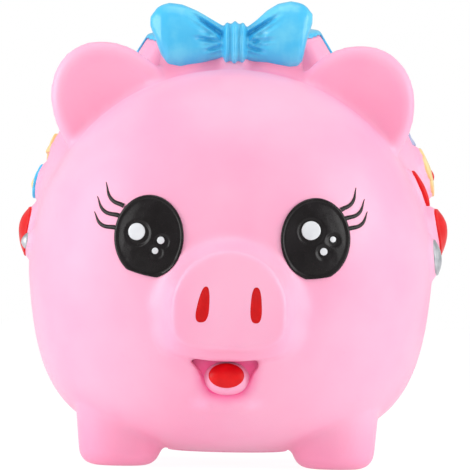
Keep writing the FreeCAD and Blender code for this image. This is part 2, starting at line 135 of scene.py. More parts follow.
def round_edges(piece, chosen, radius, segments):
    """Rounds the edges whose two ends are chosen(end, other_end)."""
    take(piece)
    bpy.ops.object.mode_set(mode="EDIT")
    bpy.ops.mesh.select_mode(type="EDGE")
    bpy.ops.mesh.select_all(action="DESELECT")
    bpy.ops.object.mode_set(mode="OBJECT")
    for edge in piece.data.edges:
        edge.select = chosen(*[piece.data.vertices[v].co for v in edge.vertices])
    bpy.ops.object.mode_set(mode="EDIT")
    bpy.ops.mesh.bevel(offset=radius * MM, segments=segments)
    bpy.ops.mesh.select_mode(type="VERT")
    bpy.ops.object.mode_set(mode="OBJECT")
    return piece


def smooth(piece, angle=40):
    take(piece)
    bpy.ops.object.shade_smooth_by_angle(angle=math.radians(angle))
    return piece


WELL_OUTSIDE = 0.3


def drape(piece, ground, along):
    """Lays a piece on the ground's surface: its depth along the axis becomes its height above it."""
    axis = max(range(3), key=lambda k: abs(along[k]))
    sign = 1 if along[axis] > 0 else -1

    def rule(point):
        start = point.copy()
        start[axis] = -sign * WELL_OUTSIDE
        found, place, *rest = ground.ray_cast(start, Vector(along))
        landed = point.copy()
        if found:
            landed[axis] = place[axis] + point[axis]
        return landed

    return reshape(piece, rule)


def place_of(node):
    """The centre and the half size of a CAD node."""
    low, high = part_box(node)
    return (low + high) / 2, (high - low) / 2


# %% [markdown]
# ## The round body
# The body is neither a ball nor a box.  Each section across it is a rounded square, fuller below
# than above, and its outline has two humps: the forehead, and the back under the saddle.  A ball
# is added with its poles at snout and tail, and each of its rings is pressed to that section.
# The same rule, grown or shrunk, gives the inside of the wall and the ground of the raised work.

# %% The body's form
HALF_WIDTH, WAIST_Z, BELLY_Z = 80.6, 75.5, 5.3
HEAD_TOP_Z, BACK_TOP_Z = 157.1, 165.5
FACE_Y, RUMP_Y, HEAD_Y, BACK_Y = -74.0, 82.0, -14.0, 30.0
LENGTH_POWER, BELLY_POWER, CHEEK_POWER = 2.2, 3.0, 2.7
HEAD_POWER, SHOULDER_POWER, NECK_BLEND = 2.05, 2.8, 26
SHOULDER_FROM_Y, SHOULDER_TO_Y = -8.0, 16.0
CHEEK_TAPER, CHEEK_TAPER_TO = 0.017, 0.75
WALL = 3.0


def bulge(distance, reach, power=LENGTH_POWER):
    share = abs(distance) / reach
    return (1 - share ** power) ** (1 / power) if share < 1 else 0.0


def signed_power(value, power):
    return math.copysign(abs(value) ** power, value)


def ease(value, start, end):
    share = min(1.0, max(0.0, (value - start) / (end - start)))
    return share * share * (3 - 2 * share)


def body_rule(grow):
    """Where a point of the unit ball goes on the body grown by so many millimetres."""
    def rule(p):
        reach = (RUMP_Y if p.y > 0 else -FACE_Y) + grow
        y = reach * p.y
        half = (HALF_WIDTH + grow) * bulge(y, reach)
        below = (WAIST_Z - BELLY_Z + grow) * bulge(y, reach, BELLY_POWER)
        dome = (HEAD_TOP_Z - WAIST_Z + grow) * bulge(y - HEAD_Y, HEAD_Y - FACE_Y + grow)
        back = (BACK_TOP_Z - WAIST_Z + grow) * bulge(y - BACK_Y, RUMP_Y - BACK_Y + grow)
        above = (dome ** NECK_BLEND + back ** NECK_BLEND) ** (1 / NECK_BLEND)
        shoulder = ease(y, SHOULDER_FROM_Y, SHOULDER_TO_Y)
        upper = HEAD_POWER + (SHOULDER_POWER - HEAD_POWER) * shoulder
        turn = math.atan2(p.z, p.x)
        power = upper if p.z >= 0 else CHEEK_POWER
        lift = signed_power(math.sin(turn), 2 / power)
        draw_in = CHEEK_TAPER * math.sin(math.pi * min(1.0, max(0.0, -lift) / CHEEK_TAPER_TO))
        x = half * signed_power(math.cos(turn), 2 / power) * (1 - draw_in)
        return Vector((x, y, WAIST_Z + (above if p.z >= 0 else below) * lift)) * MM
    return rule


def body_form(name, grow=0.0, segments=96, rings=64):
    let_go()
    bpy.ops.mesh.primitive_uv_sphere_add(segments=segments, ring_count=rings, radius=1,
                                         rotation=(math.pi / 2, 0, 0))
    return outwards(reshape(call_it(name), body_rule(grow)))


ground = body_form("ground_of_the_face")
print("body form:", [round(v / MM, 1) for v in ground.dimensions])

# %% [markdown]
# ## Plates that lie on the body
# An eye, a lash, a heart or a petal is a flat shape with a soft edge that hugs the body.  One
# way makes them all: a filled circle is extruded step by step, each time drawn in and lifted, so
# that its edge gets a profile.  Its outline is then pressed to the shape it needs, it is
# turned to face outwards, and it is draped over the body.

# %% Helpers for plates
def plate(name, steps, points=96):
    """A disc of radius 1 built up by (scale, height) steps; the last one closes it in the middle."""
    let_go()
    bpy.ops.mesh.primitive_circle_add(vertices=points, radius=1, fill_type="NGON")
    piece = bpy.context.object
    bpy.ops.object.mode_set(mode="EDIT")
    bpy.ops.mesh.select_all(action="SELECT")
    scale, height = 1.0, 0.0
    for next_scale, next_height in steps:
        bpy.ops.mesh.extrude_region_move()
        factor = next_scale / scale
        bpy.ops.transform.resize(value=(factor, factor, 1), center_override=(0, 0, 0))
        bpy.ops.transform.translate(value=(0, 0, next_height - height))
        scale, height = next_scale, next_height
    bpy.ops.mesh.poke()
    bpy.ops.object.mode_set(mode="OBJECT")
    return call_it(name)


EDGE_STEEPNESS, EDGE_STEPS = 8, 4


def dome_steps(edge, height, crown=0.0, count=10, foot=-1.5):
    """Steps of a plate: a foot below the ground, a rounded edge, and a crown that rises inwards."""
    steps = [(1.0, foot)]
    rounding = min(height, EDGE_STEEPNESS * edge)
    for k in range(EDGE_STEPS + 1):
        turn = math.pi / 2 * k / EDGE_STEPS
        steps.append((1 - edge * (1 - math.cos(turn)), height - rounding * (1 - math.sin(turn))))
    top = 1 - edge
    for k in range(1, count):
        share = k / count
        steps.append((top * (1 - share), height + crown * (1 - (1 - share) ** 2)))
    return steps


def outline(radius_at, size=1.0):
    """A rule that presses the unit disc's rim to radius_at(angle) and scales it to millimetres."""
    def rule(p):
        reach = size * radius_at(math.atan2(p.y, p.x))
        return Vector((p.x * reach, p.y * reach, p.z))
    return rule


def facing_front(piece, x, z):
    """Turns a flat plate, drawn in millimetres, to face the front at that place."""
    return reshape(piece, lambda p: Vector((x + p.x, -p.z, z + p.y)) * MM)


def facing_side(piece, y, z, side):
    """The same, to face the pig's left (side 1) or right (side -1)."""
    turned = reshape(piece, lambda p: Vector((side * p.z, y + p.x, z + p.y)) * MM)
    return outwards(turned)


# %% [markdown]
# ## Snout
# The snout is a short round-topped, flat-bottomed block whose foot spreads into the cheeks like
# the mouth of a trumpet.  A filled circle is extruded backwards ring by ring, and each ring is
# then pressed to the outline, wider the nearer it is to the face.  Below, the foot spreads only
# a little and hangs over the mouth as its upper lip.

# %% Snout
SNOUT_X, SNOUT_Z, SNOUT_TIP_Y = 0.5, 63.0, -88.0
SNOUT_HALF, SNOUT_UP, SNOUT_DOWN = 22.2, 22.6, 15.3
SNOUT_RINGS = [(0.0, -2.0), (0.1, -1.2), (0.5, -0.5), (1.2, 0.0), (2.4, 0.3), (5.0, 0.8), (8.0, 1.6),
               (11.0, 2.7), (13.5, 4.0), (15.5, 5.6), (17.4, 7.8), (19.4, 10.2), (22.0, 11.4)]
# how far behind the tip each ring lies, and how far it spreads past the disc
LIP_DROP, LIP_SLOPE = 5.0, 1.6


def snout_outline(p, spread):
    turn = math.atan2(p.z, p.x)
    if p.z >= 0:
        power, tall, wide = 2.0, SNOUT_UP + spread, SNOUT_HALF + spread
    else:
        drop = min(spread * (LIP_SLOPE if spread > 0 else 1), LIP_DROP)
        power, tall, wide = 3.8, SNOUT_DOWN + drop, SNOUT_HALF + spread * 0.8
    reach = math.hypot(p.x, p.z)
    return (wide * reach * signed_power(math.cos(turn), 2 / power),
            tall * reach * signed_power(math.sin(turn), 2 / power))


def make_snout():
    let_go()
    bpy.ops.mesh.primitive_circle_add(vertices=96, radius=1, fill_type="NGON", rotation=(math.pi / 2, 0, 0))
    piece = call_it("snout_form")
    bpy.ops.object.mode_set(mode="EDIT")
    bpy.ops.mesh.select_all(action="SELECT")
    for ring in SNOUT_RINGS[1:]:
        bpy.ops.mesh.extrude_region_move()
        bpy.ops.transform.translate(value=(0, 1, 0))
    bpy.ops.object.mode_set(mode="OBJECT")

    def rule(p):
        depth, spread = SNOUT_RINGS[round(p.y)]
        x, z = snout_outline(p, spread)
        return Vector((SNOUT_X + x, SNOUT_TIP_Y + depth, SNOUT_Z + z)) * MM

    return outwards(reshape(piece, rule))


snout = make_snout()
face = join("ground_of_the_eyes", body_form("face_form"), make_snout())
print("snout:", [round(v / MM, 1) for v in snout.dimensions])

# %% [markdown]
# ## Ears
# Each ear is a leaf with a hollowed front.  A ball is flattened and leaned, and a second, smaller
# one in front of it is cut away, which leaves the thick rim.

# %% Ears
EAR_Y, EAR_THICK, EAR_RIM, EAR_CUP = -12.0, 7.5, 3.0, 6.4
EARS = {1: (45.8, 139.0, 32.0, 24.8, 30.4), -1: (-46.0, 139.3, -38.3, 23.9, 31.0)}
# keyed by side (1 is the pig's left): x and z of the middle, lean in degrees, half width, half height


def leaf(name, side, shrink, y):
    x, z, lean, wide, tall = EARS[side]
    let_go()
    bpy.ops.mesh.primitive_uv_sphere_add(segments=64, ring_count=40, radius=MM,
                                         location=(x * MM, y * MM, z * MM),
                                         rotation=(0, math.radians(lean), 0),
                                         scale=(wide - shrink, EAR_THICK, tall - shrink))
    return call_it(name)


def make_ear(side):
    return carve(leaf(f"ear_form_{side}", side, 0, EAR_Y), leaf("ear_cup", side, EAR_RIM, EAR_Y - EAR_CUP))


ears = [make_ear(side) for side in (1, -1)]

# %% [markdown]
# ## Feet
# Four squat feet: a drum each, its sole drawn in and its lower edge rounded by a bevel.

# %% Feet
FOOT_X, FOOT_Y, FOOT_SOLE_R, FOOT_TOP_R, FOOT_HEIGHT, FOOT_ROUND = 42.2, (-27.0, 36.0), 15.6, 19.0, 40.0, 6.0


def make_foot(x, y, name):
    let_go()
    bpy.ops.mesh.primitive_cone_add(vertices=64, radius1=FOOT_SOLE_R * MM, radius2=FOOT_TOP_R * MM,
                                    depth=FOOT_HEIGHT * MM, location=(x * MM, y * MM, FOOT_HEIGHT / 2 * MM))
    return round_edges(call_it(name), lambda a, b: max(a.z, b.z) < 0.1 * MM, FOOT_ROUND, 6)


feet = [make_foot(side * FOOT_X, y, f"foot_form_{k}") for k, (side, y) in
        enumerate((side, y) for side in (-1, 1) for y in FOOT_Y)]

# %% [markdown]
# ## Bow
# The bow is moulded with its folds: two puffed loops that are gathered at the knot, with creases
# that run out of it, and a knot wrapped in three folds.  A ball with its poles at both ends is
# pressed to each loop's sections and creased, the knot is a rounded block, and a fine remesh makes
# one skin of them.

# %% Bow
LOOPS = {
    1: [(1.0, 161.4, 173.4, 4.2), (4.1, 161.0, 173.9, 4.8), (8.3, 160.3, 177.2, 6.0),
        (12.7, 159.8, 181.3, 7.2), (17.0, 158.6, 184.0, 7.8), (22.1, 157.6, 185.1, 8.0),
        (25.2, 158.2, 184.6, 7.6), (27.2, 161.4, 183.9, 6.8), (28.7, 169.2, 182.7, 5.6),
        (30.1, 174.0, 180.9, 3.8), (30.8, 176.4, 180.2, 2.2)],
    -1: [(1.0, 162.3, 173.9, 4.2), (4.2, 161.9, 174.5, 4.8), (9.3, 160.6, 177.3, 6.2),
         (15.3, 158.4, 180.7, 7.4), (21.2, 156.7, 183.0, 8.0), (26.3, 158.0, 183.6, 7.6),
         (29.3, 162.7, 182.7, 6.6), (31.2, 167.7, 181.5, 5.2), (33.0, 172.1, 179.0, 3.4),
         (33.8, 174.2, 177.8, 2.0)]}
# keyed by side (1 is the pig's left): x, lowest z, highest z, half depth of each section
CREASES = [(33.0, 3.5, 24.0, 5.2, 0.95), (6.0, 4.0, 18.0, 3.8, 0.85), (-16.0, 4.0, 14.0, 3.0, 0.85),
           (19.0, 3.5, 12.0, 2.0, 0.7)]
# angle, start and end from the knot, depth, half width
BOW_Y = place_of("bow")[0].y / MM
KNOT_Z, KNOT_HALF, KNOT_TALL, KNOT_DEEP, KNOT_FOLD = 167.9, 5.2, 8.2, 8.4, 0.9
BOW_VOXEL, BOW_SOFTENING = 0.48, 3


def section_at(x, sections):
    """Lowest z, highest z and half depth of a loop, eased between its sections."""
    for (x0, *here), (x1, *there) in zip(sections, sections[1:]):
        if x <= x1:
            share = min(1.0, max(0.0, (x - x0) / (x1 - x0)))
            return [a + (b - a) * share for a, b in zip(here, there)]
    return sections[-1][1:]


def crease_at(x, z):
    """How deep the folds are at a place of the loop; the cloth swells beside each."""
    depth = 0.0
    for angle, start, end, deep, wide in CREASES:
        slope = math.radians(angle)
        along = x * math.cos(slope) + (z - KNOT_Z) * math.sin(slope)
        across = -x * math.sin(slope) + (z - KNOT_Z) * math.cos(slope)
        fade = ease(along, start - 2, start + 1) * (1 - ease(along, start + 0.45 * (end - start), end))
        swelling = 0.3 * math.exp(-((abs(across) - 2.4 * wide) / wide) ** 2)
        depth += deep * fade * (math.exp(-abs(across / wide) ** 1.5) - swelling)
    return depth


def make_loop(side):
    let_go()
    bpy.ops.mesh.primitive_uv_sphere_add(segments=128, ring_count=96, radius=1, rotation=(0, math.pi / 2, 0))
    piece = call_it(f"bow_loop_{side}")
    start, end = LOOPS[side][0][0], LOOPS[side][-1][0]

    def rule(p):
        x = start + (end - start) * (1 + p.x) / 2
        low, high, deep = section_at(x, LOOPS[side])
        turn = math.atan2(p.z, p.y)
        around = 1 if abs(p.x) < 0.9999 else 0
        squareness = 0.9 if p.z > 0 else 0.6
        z = (low + high) / 2 + around * (high - low) / 2 * signed_power(math.sin(turn), squareness)
        y = around * deep * signed_power(math.cos(turn), squareness)
        y -= math.copysign(min(abs(y) * 0.9, crease_at(x, z)), y)
        return Vector((side * x, BOW_Y + y, z)) * MM

    return outwards(reshape(piece, rule))


def make_knot():
    let_go()
    bpy.ops.mesh.primitive_cube_add(size=2, location=(0, 0, 0))
    piece = call_it("bow_knot")
    modify(piece, "SUBSURF", levels=5, render_levels=5, subdivision_type="SIMPLE")

    def rule(p):
        reach = (abs(p.x) ** 4 + abs(p.y) ** 4 + abs(p.z) ** 4) ** 0.25
        x, y, z = p.x / reach, p.y / reach, p.z / reach
        fold = KNOT_FOLD * math.cos(3 * math.pi * x) * (1 - 0.4 * abs(x))
        waist = 1 - 0.1 * (1 - z * z)
        return Vector((x * KNOT_HALF * waist, BOW_Y + y * (KNOT_DEEP + fold),
                       KNOT_Z + z * (KNOT_TALL + 0.7 * fold))) * MM

    return outwards(reshape(piece, rule))


def bow_form(name):
    return join(name, make_loop(1), make_loop(-1), make_knot())


def make_bow():
    bow = bow_form("bow_blue")
    modify(bow, "REMESH", mode="VOXEL", voxel_size=BOW_VOXEL * MM)
    modify(bow, "SMOOTH", factor=0.5, iterations=BOW_SOFTENING)
    return smooth(bow, 60)


bow = make_bow()
print("bow faces:", len(bow.data.polygons))

# %% [markdown]
# ## Ledge under the bow, saddle and chin
# The bow stands on a low pink ledge of its own outline.  Behind it the back carries a raised
# saddle: a tapered block cut off parallel to the back, pink below and in front, blue on top.

# %% Ledge, saddle block and chin
LEDGE_TOP, LEDGE_FOOT = (3.4, 0.52, 0.93), (16.0, 0.88, 1.0)
# for the upper and the lower half: how far it lies below the bow, and its thickness and length against it
SADDLE_Y, SADDLE_Z, SADDLE_HALF = (9.0, 61.0), (147.5, 181.5), (51.0, 30.0)
SADDLE_RISE, SADDLE_SKIN, SADDLE_LIP, SADDLE_CORNER, SADDLE_TILT = 10.0, 1.2, 1.2, 16.0, 2.2


def make_ledge():
    """The bow's form made thinner and moved down, its lower half further than its upper one."""
    def rule(p):
        down, thin, short = LEDGE_TOP if p.z > KNOT_Z * MM else LEDGE_FOOT
        return Vector((p.x * short, BOW_Y * MM + (p.y - BOW_Y * MM) * thin, p.z - down * MM))
    return reshape(bow_form("ledge_form"), rule)


def saddle_block(name, shrink, front):
    """The tapered block, its upright corners rounded."""
    rear = SADDLE_Y[1] - shrink
    low, high = (half - shrink for half in SADDLE_HALF)
    let_go()
    tall = SADDLE_Z[1] - SADDLE_Z[0]
    bpy.ops.mesh.primitive_cube_add(size=1, location=(0, (front + rear) / 2 * MM, sum(SADDLE_Z) / 2 * MM),
                                    scale=(2 * low * MM, (rear - front) * MM, tall * MM))
    piece = call_it(name)
    round_edges(piece, lambda a, b: abs(a.z - b.z) > MM, SADDLE_CORNER - shrink, 10)
    top = SADDLE_Z[1] * MM - 0.1 * MM
    return reshape(piece, lambda p: Vector((p.x * (high / low if p.z > top else 1), p.y, p.z)))


def back_form(name, grow):
    """The back grown by so many millimetres, and a little higher on the pig's left."""
    def rule(p):
        x = p.x / MM
        rise = SADDLE_TILT * ease(x, 10, 31) * (1 - ease(x, 34, 50)) if p.z > WAIST_Z * MM else 0.0
        return Vector((p.x, p.y, p.z + rise * MM))
    return reshape(body_form(name, grow), rule)


def make_saddle_core():
    block = saddle_block("saddle_core", SADDLE_SKIN, SADDLE_Y[0] - SADDLE_LIP)
    return carve(block, back_form("back_under_paint", SADDLE_RISE - SADDLE_SKIN), "INTERSECT")


CHIN = [(0.0, -57.0, 28.5, 20.0, 10.6, 8.0),
        *[(side * 12.5, -58.0, 35.5, 9.0, 10.5, 9.0) for side in (1, -1)],
        *[(side * 5.5, -60.6, 26.6, 7.0, 7.4, 4.4) for side in (1, -1)]]
# middle of each ball of the chin, and its half width, half depth and half height


def ball(name, x, y, z, wide, deep, tall, segments=48):
    let_go()
    bpy.ops.mesh.primitive_uv_sphere_add(segments=segments, ring_count=segments // 2, radius=MM,
                                         location=(x * MM, y * MM, z * MM), scale=(wide, deep, tall))
    return call_it(name)


chin = [ball(f"chin_form_{k}", *sizes) for k, sizes in enumerate(CHIN)]

# %% [markdown]
# ## Raised work of the flanks
# Heart, coin, flower and star stand proud of each flank.  Each outline is a radius that changes
# with the angle, so one plate does for all: a pink one for the casting, and a smaller painted
# one on top of it.

# %% Outlines of the raised work
def round_outline(turn):
    return 1.0


def heart_outline(turn):
    lean = abs(math.remainder(turn - math.pi / 2, 2 * math.pi))
    return 0.56 + 0.42 * math.sin(min(lean, 1.15) / 1.15 * math.pi / 2) + 0.12 * ease(lean, 2.2, math.pi)


def flower_outline(turn):
    return 0.80 + 0.20 * abs(math.cos(2.5 * (turn - math.pi / 2))) ** 0.7


def star_outline(turn):
    lean = abs(math.remainder(turn + math.pi / 2, 2 * math.pi / 5)) / (math.pi / 5)
    return 0.56 + 0.44 * (1 - lean) ** 1.35


def leaf_outline(turn):
    return 1 / math.hypot(math.cos(turn) / 0.35, math.sin(turn))


RAISED = {
    "heart": (heart_outline, {1: 7.0, -1: 5.6}, 2.7),
    "silver_coin": (round_outline, {1: 4.2, -1: 4.2}, 1.6),
    "flower": (flower_outline, {1: 4.8, -1: 4.2}, 1.0),
    "star": (star_outline, {1: 4.5, -1: 4.2}, 1.0),
    "leaf": (leaf_outline, {1: 4.3}, 0.8),
}
# outline, height above the flank by side, and how much of that height is its dome
SIDES = ((1, "left"), (-1, "right"))
RAISED_NODES = {f"{label}_{suffix}": (label, side) for label in RAISED for side, suffix in SIDES
                if f"{label}_{suffix}" in frame["nodes"]}
PEDESTAL_EDGE = 0.9


def raised_plate(name, node, sink, foot, margin, edge):
    """A domed plate of that decoration, its top so far below the full height, on a foot."""
    label, side = RAISED_NODES[node]
    rule, rises, crown = RAISED[label]
    centre, half = place_of(node)
    brim = rises[side] - sink - crown
    piece = plate(name, dome_steps(edge, foot, crown, foot=0.3), points=160)
    reshape(piece, outline(rule, half.z / MM + margin))
    reshape(piece, lambda p: Vector((p.x, p.y, p.z + brim - foot)))
    piece = facing_side(piece, centre.y / MM, centre.z / MM, side)
    return drape(piece, ground, (-side, 0, 0))


pedestals = [raised_plate(f"pedestal_{node}", node, 0.8, 5.0, PEDESTAL_EDGE, 0.06) for node in RAISED_NODES]
print("pedestals:", len(pedestals))

# %% [markdown]
# ## Mouth
# The mouth is a pocket under the upper lip, wide at its corners and round below, with the tongue
# lying in it.  The pocket is cut from the solid form before the casting is smoothed, so its edges
# come out as soft as the real ones.

# %% Mouth pocket and tongue form
MOUTH_X, MOUTH_HALF, MOUTH_TOP_Z, MOUTH_BOTTOM_Z, MOUTH_RISE, MOUTH_DEEP = -0.2, 17.3, 42.6, 28.9, 2.0, 7.0
MOUTH_THROAT, MOUTH_CORNER = (10.6, 0.17), (6.8, 4.2)
MOUTH_MIDDLE_Z, MOUTH_FLOOR_Y, IN_FRONT_Y = 38.0, FACE_Y + MOUTH_DEEP + 1.5, -100.0
TONGUE_FORM = (0.0, -62.6, 36.0, 9.9, 7.6, 7.4)
# the pocket's half width grows from its bottom as two powers of the height; the tongue is one more ball


def in_mouth(x, z):
    """Whether a place lies below the lip's curve and between the slanting sides."""
    top = MOUTH_TOP_Z + MOUTH_RISE * (x / MOUTH_HALF) ** 2
    share = max(0.0, (z - MOUTH_BOTTOM_Z) / (MOUTH_TOP_Z + MOUTH_RISE - MOUTH_BOTTOM_Z))
    return z < top and abs(x) < sum(wide * share ** power for wide, power in (MOUTH_THROAT, MOUTH_CORNER))


def mouth_reach(turn):
    """How far the mouth reaches from its middle in that direction, found by halving."""
    low, high = 0.0, 2 * MOUTH_HALF
    for halving in range(24):
        middle = (low + high) / 2
        if in_mouth(middle * math.cos(turn), MOUTH_MIDDLE_Z + middle * math.sin(turn)):
            low = middle
        else:
            high = middle
    return low


def mouth_rule(p):
    """Presses the unit disc to the mouth's outline, in millimetres."""
    reach = mouth_reach(math.atan2(p.y, p.x))
    return Vector((MOUTH_X + p.x * reach, MOUTH_MIDDLE_Z + p.y * reach, p.z))


def mouth_plate(name, steps):
    return reshape(plate(name, steps, points=160), mouth_rule)


def make_mouth_cutter():
    let_go()
    bpy.ops.mesh.primitive_circle_add(vertices=160, radius=1, fill_type="NGON")
    piece = call_it("mouth_cutter")
    bpy.ops.object.mode_set(mode="EDIT")
    bpy.ops.mesh.select_all(action="SELECT")
    bpy.ops.mesh.extrude_region_move()
    bpy.ops.transform.translate(value=(0, 0, 1))
    bpy.ops.object.mode_set(mode="OBJECT")
    reshape(piece, mouth_rule)
    reshape(piece, lambda p: Vector((p.x, MOUTH_FLOOR_Y if p.z < 0.5 else IN_FRONT_Y, p.y)) * MM)
    return outwards(piece)


# %% [markdown]
# ## The casting
# All forms are joined and remeshed with fine voxels, which fuses them to one skin, and a few
# rounds of smoothing turn every inside corner into the soft fillet of a moulded toy.  The
# inside is then cut out, a wall's thickness in, with the slot and the hole for the stopper.

# %% Build the casting
VOXEL, SOFTENING = 1.15, 5
STOPPER_Y = place_of("belly_stopper")[0].y / MM
BOSS_R, HOLE_R, SEAT_R, FLANGE = 28.0, 20.2, 24.3, 1.9
SLOT_Y, SLOT_LONG, SLOT_WIDE = 34.0, 38.0, 5.0


def drum(name, radius, low, high, x=0.0, y=0.0, points=96):
    let_go()
    bpy.ops.mesh.primitive_cylinder_add(vertices=points, radius=radius * MM, depth=(high - low) * MM,
                                        location=(x * MM, y * MM, (low + high) / 2 * MM))
    return call_it(name)


def make_slot_bar(name, margin=0.0):
    """A bar with round ends through the back, as long and as wide as the coin slot."""
    half = SLOT_WIDE / 2 + margin
    straight = SLOT_LONG / 2 - SLOT_WIDE / 2
    piece = drum(name, half, 130, 200, y=SLOT_Y, points=32)
    return reshape(piece, lambda p: Vector((p.x, p.y + math.copysign(straight * MM, p.y - SLOT_Y * MM), p.z)))


def make_casting():
    saddle_core = make_saddle_core()
    solid = join("casting", body_form("casting_form"), snout, *ears, *feet, make_ledge(), saddle_core,
                 *chin, *pedestals)
    modify(solid, "REMESH", mode="VOXEL", voxel_size=VOXEL * MM)
    carve(solid, make_mouth_cutter())
    modify(solid, "REMESH", mode="VOXEL", voxel_size=VOXEL * MM)
    modify(solid, "SMOOTH", factor=0.5, iterations=SOFTENING)
    return solid


def hollow_out(casting):
    inside = body_form("inside_form", -WALL, segments=64, rings=40)
    boss = drum("boss_form", BOSS_R, 0.0, 9.2, y=STOPPER_Y)
    carve(inside, boss)
    carve(casting, inside)
    carve(casting, make_slot_bar("slot_cutter"))
    carve(casting, drum("hole_cutter", HOLE_R, -5, 30, y=STOPPER_Y))
    carve(casting, drum("seat_cutter", SEAT_R, -5, BELLY_Z + FLANGE, y=STOPPER_Y))
    return casting


casting = make_casting()
hollow_out(casting)
smooth(casting, 50)
print("casting faces:", len(casting.data.polygons))

# %% [markdown]
# ## Nostrils
# Two upright pits in the snout, painted red.  The pit is a shallow cut, and the paint a plate
# whose face sinks towards its middle.

# %% Nostrils
NOSTRIL_STEPS = [(1.0, 0.55), (0.92, 0.65), (0.8, 0.5), (0.6, 0.3), (0.4, 0.2), (0.2, 0.15)]
NOSTRIL_DEEP, NOSTRIL_TALL, NOSTRIL_POWER = 1.6, 6.9, 2.7
NOSTRILS = {1: (2.15, 0.16, 0.0), -1: (2.3, 0.3, 0.9)}
# keyed by side (1 is the pig's left): half width, how much its top narrows, how far it leans


def nostril_outline(side):
    """A rounded bar, narrower at its top."""
    half, narrowing, lean = NOSTRILS[side]

    def rule(p):
        turn = math.atan2(p.y, p.x)
        sides = abs(math.cos(turn)) ** NOSTRIL_POWER + abs(math.sin(turn)) ** NOSTRIL_POWER
        fill = sides ** (-1 / NOSTRIL_POWER)
        x, y = p.x * fill, p.y * fill
        return Vector((x * (1 - narrowing * y) * half - side * lean * y, y * NOSTRIL_TALL, p.z))
    return rule


def in_snout(piece, side, centre):
    """Shapes a plate to that nostril and sets it at the bottom of the pit."""
    floor_y = SNOUT_TIP_Y + NOSTRIL_DEEP
    reshape(piece, nostril_outline(side))
    reshape(piece, lambda p: Vector((centre.x + p.x * MM, (floor_y - p.z) * MM, centre.z + p.y * MM)))
    return outwards(piece)


def make_nostril(side, name):
    centre = place_of(name)[0]
    carve(casting, in_snout(plate("nostril_cutter", [(1.0, 4.0)], points=64), side, centre))
    paint = in_snout(plate(f"{name}_paint", NOSTRIL_STEPS, points=64), side, centre)
    reshape(paint, lambda p: Vector((p.x, p.y + 0.1 * MM, p.z)))
    return smooth(paint, 60)


nostrils = {f"nostril_{suffix}": make_nostril(side, f"nostril_{suffix}") for side, suffix in SIDES}

# %% [markdown]
# ## Lining and tongue
# Magenta paint lines the pocket and shows in its corners; the tongue's top is sprayed red and
# leaves a pink rim below.

# %% Lining and red of the tongue
LINING_STEPS = [(1.0, 0.6), (0.94, 0.6), (0.8, 0.5), (0.6, 0.5), (0.4, 0.5), (0.2, 0.5)]
TONGUE_RED = (-0.2, 37.1, 6.9, 4.8)


def make_lining():
    piece = mouth_plate("mouth_lining_paint", LINING_STEPS)
    return smooth(outwards(reshape(piece, lambda p: Vector((p.x, MOUTH_FLOOR_Y - p.z, p.y)) * MM)), 60)


def make_tongue_red():
    x, z, wide, tall = TONGUE_RED
    piece = plate("tongue_paint", dome_steps(0.05, 0.35, 0.1, foot=-0.6), points=64)
    reshape(piece, lambda p: Vector((p.x * wide, p.y * tall, p.z)))
    facing_front(piece, x, z)
    return smooth(outwards(drape(piece, tongue_pink, (0, 1, 0))), 60)


lining = make_lining()
tongue_pink = smooth(ball("tongue_pink", *TONGUE_FORM, segments=64), 60)
tongue_red = make_tongue_red()

# %% [markdown]
# ## Eyes
# Each eye is a thick, glossy black shape with a raised rim and a gentle dome.  The white glints
# sit in round dents, so the black surface dips around each of them.

# %% Eyes and glints
EYE_STEPS = [(1.0, 0.35), (0.99, 0.7), (0.972, 0.95), (0.95, 1.0), (0.93, 0.92), (0.91, 0.72), (0.885, 0.62),
             (0.85, 0.62), (0.8, 0.66)] + [(0.8 - 0.04 * k, 0.66 + 0.03 * k) for k in range(1, 20)]
GLINTS = {1: [(-1.8, 2.9, 3.8), (6.7, -0.3, 1.2), (3.2, -5.1, 1.5)],
          -1: [(-4.2, 1.3, 3.4), (5.2, -1.9, 1.5), (3.1, -6.0, 1.3)]}
EYE_SHAPE = {1: (0.98, 1.02, 15.0, 7.0, 0.0, -0.4), -1: (0.985, 1.035, 14.4, 14.0, 0.5, -0.6)}
# by side: width and height against the plain eye, how far from its middle the foot is flattened, how far
# that flat leans outwards in degrees, and how far the eye sits aside and up
FLATTENING = 0.75
DENT, DENT_EDGE, GLINT_RISE = 0.55, 1.3, 0.35


def dent_at(x, z, glints):
    """How far the black surface dips at a place of the eye."""
    depth = 0.0
    for glint_x, glint_z, radius in glints:
        away = math.hypot(x - glint_x, z - glint_z) - radius
        depth = max(depth, DENT * (1 - ease(away, DENT_EDGE * 0.6, DENT_EDGE * 1.4)))
    return depth


def make_eye(side, name):
    centre, half = place_of(name)
    widen, heighten, cut, lean, aside, up = EYE_SHAPE[side]
    lean = math.radians(lean)
    wide, tall = half.x / MM * widen, half.z / MM * heighten
    piece = plate(f"{name}_black", EYE_STEPS, points=128)

    def rule(p):
        x, z = p.x * wide, p.y * tall
        over = FLATTENING * max(0.0, side * x * math.sin(lean) - z * math.cos(lean) - cut)
        return Vector((x - side * over * math.sin(lean), z + over * math.cos(lean),
                       p.z - (dent_at(x, z, GLINTS[side]) if p.z > 0.5 else 0)))

    reshape(piece, rule)
    facing_front(piece, centre.x / MM + aside, centre.z / MM + up)
    return smooth(outwards(drape(piece, face, (0, 1, 0))), 60)


def make_glints(side, eye, name):
    centre = place_of(eye)[0] / MM
    dots = []
    for k, (x, z, radius) in enumerate(GLINTS[side]):
        dot = plate(f"glint_{k}", dome_steps(0.12, 0.42 + GLINT_RISE, 0.12, foot=-0.2), points=48)
        reshape(dot, lambda p: Vector((p.x * radius, p.y * radius, p.z)))
        facing_front(dot, centre.x + x, centre.z + z)
        dots.append(outwards(drape(dot, ground, (0, 1, 0))))
    return smooth(join(f"{name}_white", *dots), 60)


